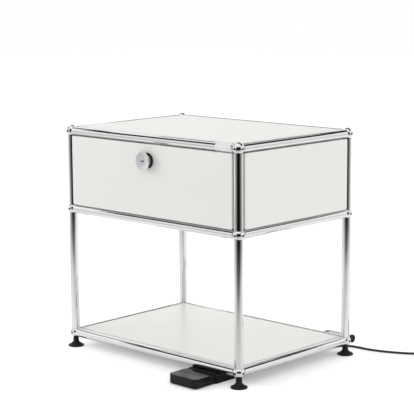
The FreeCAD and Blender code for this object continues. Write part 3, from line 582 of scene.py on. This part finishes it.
# Level directions from the object
CAMERA_SIDE = Vector((0.69, -0.724, 0.0))
KEY_SIDE = Vector((-0.75, -0.66, 0.0))
SWEEP_FRONT = Vector((0.51, -0.86, 0.0))
FRONT = Vector((0.0, -1.0, 0.0))
LEFT = Vector((-1.0, 0.0, 0.0))

UNLIT = (0.012, 0.012, 0.014, 1)
WHITE = (1, 1, 1, 1)
PAPER = (0.90, 0.905, 0.915, 1)
BOUNCE = (0.82, 0.82, 0.82, 1)
BOARD_ROUGHNESS = 0.9
FLOOR_HALF = 9.0
FLOOR_DROP = 0.0002

KEY_PLACE = Vector((-2.3, -1.8, 1.4))
KEY_TARGET = Vector((0.0, 0.0, 0.10))
KEY_SIZE = 1.4
KEY_POWER = 12.0

# Brightness against the sine of the height above the horizon: light on the object, then reflections
LIGHT_STOPS = ((0.0, 1.28), (0.20, 1.58), (0.44, 1.80), (0.65, 1.28), (0.85, 0.94), (1.0, 0.86))
MIRROR_STOPS = ((0.0, 0.86), (0.20, 0.92), (0.45, 1.08), (1.0, 1.0))
# Cosines from a side between which the light from there falls, and its shares before and after
CAMERA_SIDE_SHARE = (0.1, 0.90, 1.0, 0.66)
KEY_SIDE_SHARE = (0.3, 0.95, 1.0, 0.75)
# The dark room in reflections: cosines from the camera's side, and sines of the height, where it fades
ROOM_EDGE = (math.cos(math.radians(60)), math.cos(math.radians(30)))
ROOM_TOP = (0.45, 0.75)
# Painted shade: these stops darken the colour of the sweep that reflections show, over and above its real
# shadow
# Brightness of the sweep in reflections: far from the object against the cosine of the angle from the
# camera's side, and close to it against the distance towards the front
SIDE_STOPS = (
    (-0.5, 1.0),
    (-0.25, 0.84),
    (0.0, 0.64),
    (0.16, 0.54),
    (0.41, 0.38),
    (0.62, 0.24),
    (0.78, 0.11),
    (0.90, 0.03),
    (1.0, 0.0),
)
FRONT_STOPS = (
    (0.12, 1.0),
    (0.35, 0.78),
    (0.62, 0.64),
    (0.80, 0.56),
    (1.00, 0.36),
    (1.10, 0.24),
    (1.30, 0.16),
    (1.60, 0.14),
    (2.60, 0.0),
)
# Distances from the object between which the close brightness fades out
CLOSE = (1.0, 2.0)
# Share of that brightness which evens out the key lamp's pool of light, against the distance to the left
LEFT_STOPS = ((0.3, 1.0), (1.0, 0.70), (1.7, 0.75), (2.3, 1.0), (3.0, 1.0))
# Brightness added to the sweep as the camera sees it, against the distance to the front: an even 0.25 that
# keeps it white, and painted light in a band just in front of the object, which lightens the object's shadow
# there
WHITENING_AND_PAINTED_LIGHT_STOPS = ((0.12, 0.25), (0.175, 0.42), (0.23, 0.33), (0.32, 0.26), (0.5, 0.25))

# Painted reflections: the dark boards show only in reflections, where they draw dark lines on the chrome
# tubes and balls
# The axis that each dark board runs along, and two opposite corners of it
X, Y = 0, 1
BOARDS = {
    "front_board": (X, (-2.80, -2.28, 1.86), (-1.70, -0.80, 2.92)),
    "front_low_board": (X, (-3.70, -1.10, 2.95), (-2.77, 0.15, 2.95)),
    "right_board": (Y, (2.18, 2.30, 2.26), (0.11, 3.25, 3.09)),
    "right_low_board": (Y, (1.20, 3.10, 2.95), (-0.90, 3.80, 2.95)),
    "rear_board": (X, (-3.0, 2.0, 2.72), (3.0, 0.83, 3.37)),
    "left_board": (Y, (-0.67, 2.6, 3.46), (-2.20, 4.0, 2.84)),
}

# Sockets of a Mix node that take and give colours
MIX_FIRST, MIX_LAST, MIX_RESULT = 6, 7, 2


def map_range(tree, value, start, end, low, high, kind="SMOOTHSTEP"):
    """A step of a value from one level to another, smooth unless told otherwise."""
    node = add_node(tree, "ShaderNodeMapRange", interpolation_type=kind)
    for key, number in (("From Min", start), ("From Max", end), ("To Min", low), ("To Max", high)):
        node.inputs[key].default_value = number
    tree.links.new(value, node.inputs["Value"])
    return node.outputs["Result"]


def multiply(tree, first, last):
    node = add_node(tree, "ShaderNodeMath", operation="MULTIPLY")
    tree.links.new(first, node.inputs[0])
    tree.links.new(last, node.inputs[1])
    return node.outputs[0]


def multiply_colours(tree, first, last):
    node = add_node(tree, "ShaderNodeVectorMath", operation="MULTIPLY")
    tree.links.new(first, node.inputs[0])
    tree.links.new(last, node.inputs[1])
    return node.outputs["Vector"]


def along(tree, vector, direction):
    """How far a vector reaches along a direction."""
    dot = add_node(tree, "ShaderNodeVectorMath", operation="DOT_PRODUCT")
    dot.inputs[1].default_value = direction
    tree.links.new(vector, dot.inputs[0])
    return dot.outputs["Value"]


def level_direction(tree, vector):
    """The level part of a direction, at unit length."""
    flat = add_node(tree, "ShaderNodeVectorMath", operation="MULTIPLY")
    flat.inputs[1].default_value = (1.0, 1.0, 0.0)
    tree.links.new(vector, flat.inputs[0])
    unit = add_node(tree, "ShaderNodeVectorMath", operation="NORMALIZE")
    tree.links.new(flat.outputs["Vector"], unit.inputs[0])
    return unit.outputs["Vector"]


def grey_ramp(tree, value, stops):
    """A grey that follows a value through (place, level) stops."""
    node = add_node(tree, "ShaderNodeValToRGB")
    elements = node.color_ramp.elements
    while len(elements) < len(stops):
        elements.new(1.0)
    for element, (place, level) in zip(elements, stops):
        element.position = place
        element.color = (level, level, level, 1)
    tree.links.new(value, node.inputs["Fac"])
    return node.outputs["Color"]


def ramp_along(tree, place, direction, stops):
    """A grey that follows how far a place lies along a direction, through (distance, level) stops."""
    reach = stops[-1][0]
    share = map_range(tree, along(tree, place, direction), 0.0, reach, 0.0, 1.0, "LINEAR")
    return grey_ramp(tree, share, [(distance / reach, level) for distance, level in stops])


def choose(tree, factor, first, last):
    """The first shader where the factor is 0, the last where it is 1."""
    node = add_node(tree, "ShaderNodeMixShader")
    tree.links.new(factor, node.inputs[0])
    tree.links.new(first.outputs[0], node.inputs[1])
    tree.links.new(last.outputs[0], node.inputs[2])
    return node


def by_ray(tree, other, mirrored, seen):
    """One shader for the camera's rays, one for reflections and one for all other rays."""
    path = add_node(tree, "ShaderNodeLightPath")
    shown = choose(tree, path.outputs["Is Glossy Ray"], other, mirrored)
    return choose(tree, path.outputs["Is Camera Ray"], shown, seen)


def world_light():
    world = bpy.data.worlds.new("studio")
    world.use_nodes = True
    scene.world = world
    tree = world.node_tree
    tree.nodes.clear()
    out = add_node(tree, "ShaderNodeOutputWorld")
    coords = add_node(tree, "ShaderNodeTexCoord").outputs["Generated"]
    height = along(tree, coords, (0.0, 0.0, 1.0))
    heading = level_direction(tree, coords)
    towards_camera = along(tree, heading, CAMERA_SIDE)
    towards_key = along(tree, heading, KEY_SIDE)

    light = add_node(tree, "ShaderNodeBackground")
    tree.links.new(grey_ramp(tree, height, LIGHT_STOPS), light.inputs["Color"])
    camera_share = map_range(tree, towards_camera, *CAMERA_SIDE_SHARE)
    key_share = map_range(tree, towards_key, *KEY_SIDE_SHARE)
    tree.links.new(multiply(tree, camera_share, key_share), light.inputs["Strength"])

    bright = add_node(tree, "ShaderNodeBackground")
    tree.links.new(grey_ramp(tree, height, MIRROR_STOPS), bright.inputs["Color"])
    unlit = add_node(tree, "ShaderNodeBackground")
    unlit.inputs["Color"].default_value = UNLIT
    behind_camera = map_range(tree, towards_camera, *ROOM_EDGE, 0.0, 1.0)
    low = map_range(tree, height, *ROOM_TOP, 1.0, 0.0)
    mirrored = choose(tree, multiply(tree, behind_camera, low), bright, unlit)

    white = add_node(tree, "ShaderNodeBackground")
    white.inputs["Color"].default_value = WHITE
    shown = by_ray(tree, light, mirrored, white)
    tree.links.new(shown.outputs[0], out.inputs["Surface"])


def sweep_in_reflections(tree, place):
    """The sweep's colour as reflections show it, at a place on it. It is painted shade: darker towards the
    camera's side, close to the object darker towards the front, and darker to the left, where it evens out
    the key lamp's pool of light.
    """
    cosine = along(tree, level_direction(tree, place), CAMERA_SIDE)
    turned = map_range(tree, cosine, -1.0, 1.0, 0.0, 1.0, "LINEAR")
    side = grey_ramp(tree, turned, [((cosine + 1) / 2, level) for cosine, level in SIDE_STOPS])
    front = ramp_along(tree, place, SWEEP_FRONT, FRONT_STOPS)
    distance = add_node(tree, "ShaderNodeVectorMath", operation="LENGTH")
    tree.links.new(place, distance.inputs[0])
    close = map_range(tree, distance.outputs["Value"], *CLOSE, 1.0, 0.0)
    both = add_node(tree, "ShaderNodeMix", data_type="RGBA", blend_type="SCREEN")
    tree.links.new(close, both.inputs[0])
    tree.links.new(side, both.inputs[MIX_FIRST])
    tree.links.new(front, both.inputs[MIX_LAST])
    return multiply_colours(tree, both.outputs[MIX_RESULT], ramp_along(tree, place, LEFT, LEFT_STOPS))


def floor_material():
    material = bpy.data.materials.new("floor")
    material.use_nodes = True
    tree = material.node_tree
    tree.nodes.clear()
    out = add_node(tree, "ShaderNodeOutputMaterial")
    place = add_node(tree, "ShaderNodeNewGeometry").outputs["Position"]

    paper = add_node(tree, "ShaderNodeBsdfDiffuse")
    paper.inputs["Color"].default_value = PAPER
    # Painted light: besides an even lift that keeps the sweep white, this brightens a band just in front of
    # the object, which lightens the object's shadow there
    whitening_and_painted_light = add_node(tree, "ShaderNodeEmission")
    tree.links.new(ramp_along(tree, place, FRONT, WHITENING_AND_PAINTED_LIGHT_STOPS), whitening_and_painted_light.inputs["Strength"])
    seen = add_node(tree, "ShaderNodeAddShader")
    tree.links.new(paper.outputs[0], seen.inputs[0])
    tree.links.new(whitening_and_painted_light.outputs[0], seen.inputs[1])

    bounce = add_node(tree, "ShaderNodeBsdfDiffuse")
    bounce.inputs["Color"].default_value = BOUNCE

    mirrored = add_node(tree, "ShaderNodeBsdfDiffuse")
    tree.links.new(sweep_in_reflections(tree, place), mirrored.inputs["Color"])

    shown = by_ray(tree, bounce, mirrored, seen)
    tree.links.new(shown.outputs[0], out.inputs["Surface"])
    return material


def add_stage_plane(name, corners, material):
    mesh = bpy.data.meshes.new(name)
    mesh.from_pydata(corners, [], [(0, 1, 2, 3)])
    mesh.materials.append(material)
    plane = bpy.data.objects.new(name, mesh)
    scene.collection.objects.link(plane)
    return plane


def make_floor():
    half = FLOOR_HALF
    corners = [(-half, -half, 0), (half, -half, 0), (half, half, 0), (-half, half, 0)]
    floor = add_stage_plane("floor", corners, floor_material())
    floor.location.z = -FLOOR_DROP


def make_boards():
    material = bpy.data.materials.new("dark_board")
    material.use_nodes = True
    surface = material.node_tree.nodes["Principled BSDF"]
    surface.inputs["Base Color"].default_value = UNLIT
    surface.inputs["Roughness"].default_value = BOARD_ROUGHNESS
    for name, (axis, first, last) in BOARDS.items():
        second, fourth = list(first), list(last)
        second[axis], fourth[axis] = last[axis], first[axis]
        dark = add_stage_plane(name, [first, second, last, fourth], material)
        dark.visible_camera = False
        dark.visible_diffuse = False
        dark.visible_transmission = False
        dark.visible_shadow = False


def make_camera():
    level_length = math.cos(CAMERA_PITCH)
    ahead = Vector(
        (math.sin(CAMERA_YAW) * level_length, math.cos(CAMERA_YAW) * level_length, math.sin(CAMERA_PITCH))
    )
    level = Vector((math.cos(CAMERA_YAW), -math.sin(CAMERA_YAW), 0))
    up = level.cross(ahead)
    right = math.cos(CAMERA_ROLL) * level + math.sin(CAMERA_ROLL) * up
    top = -math.sin(CAMERA_ROLL) * level + math.cos(CAMERA_ROLL) * up
    turn = Matrix((right, top, -ahead)).transposed().to_4x4()
    data = bpy.data.cameras.new("camera")
    data.sensor_width = CAMERA_SENSOR
    data.lens = CAMERA_LENS
    data.clip_start, data.clip_end = CAMERA_CLIP
    camera = bpy.data.objects.new("camera", data)
    camera.matrix_world = Matrix.Translation(CAMERA_PLACE) @ turn
    scene.collection.objects.link(camera)
    scene.camera = camera


def make_key_lamp():
    data = bpy.data.lights.new("key", "AREA")
    data.shape = "DISK"
    data.size = KEY_SIZE
    data.energy = KEY_POWER
    lamp = bpy.data.objects.new("key", data)
    lamp.location = KEY_PLACE
    lamp.rotation_mode = "QUATERNION"
    lamp.rotation_quaternion = (KEY_TARGET - KEY_PLACE).to_track_quat("-Z", "Y")
    lamp.visible_glossy = False
    scene.collection.objects.link(lamp)


make_threads()
make_keyhole_shade()
make_lock_screws()
world_light()
make_floor()
make_boards()
make_camera()
make_key_lamp()
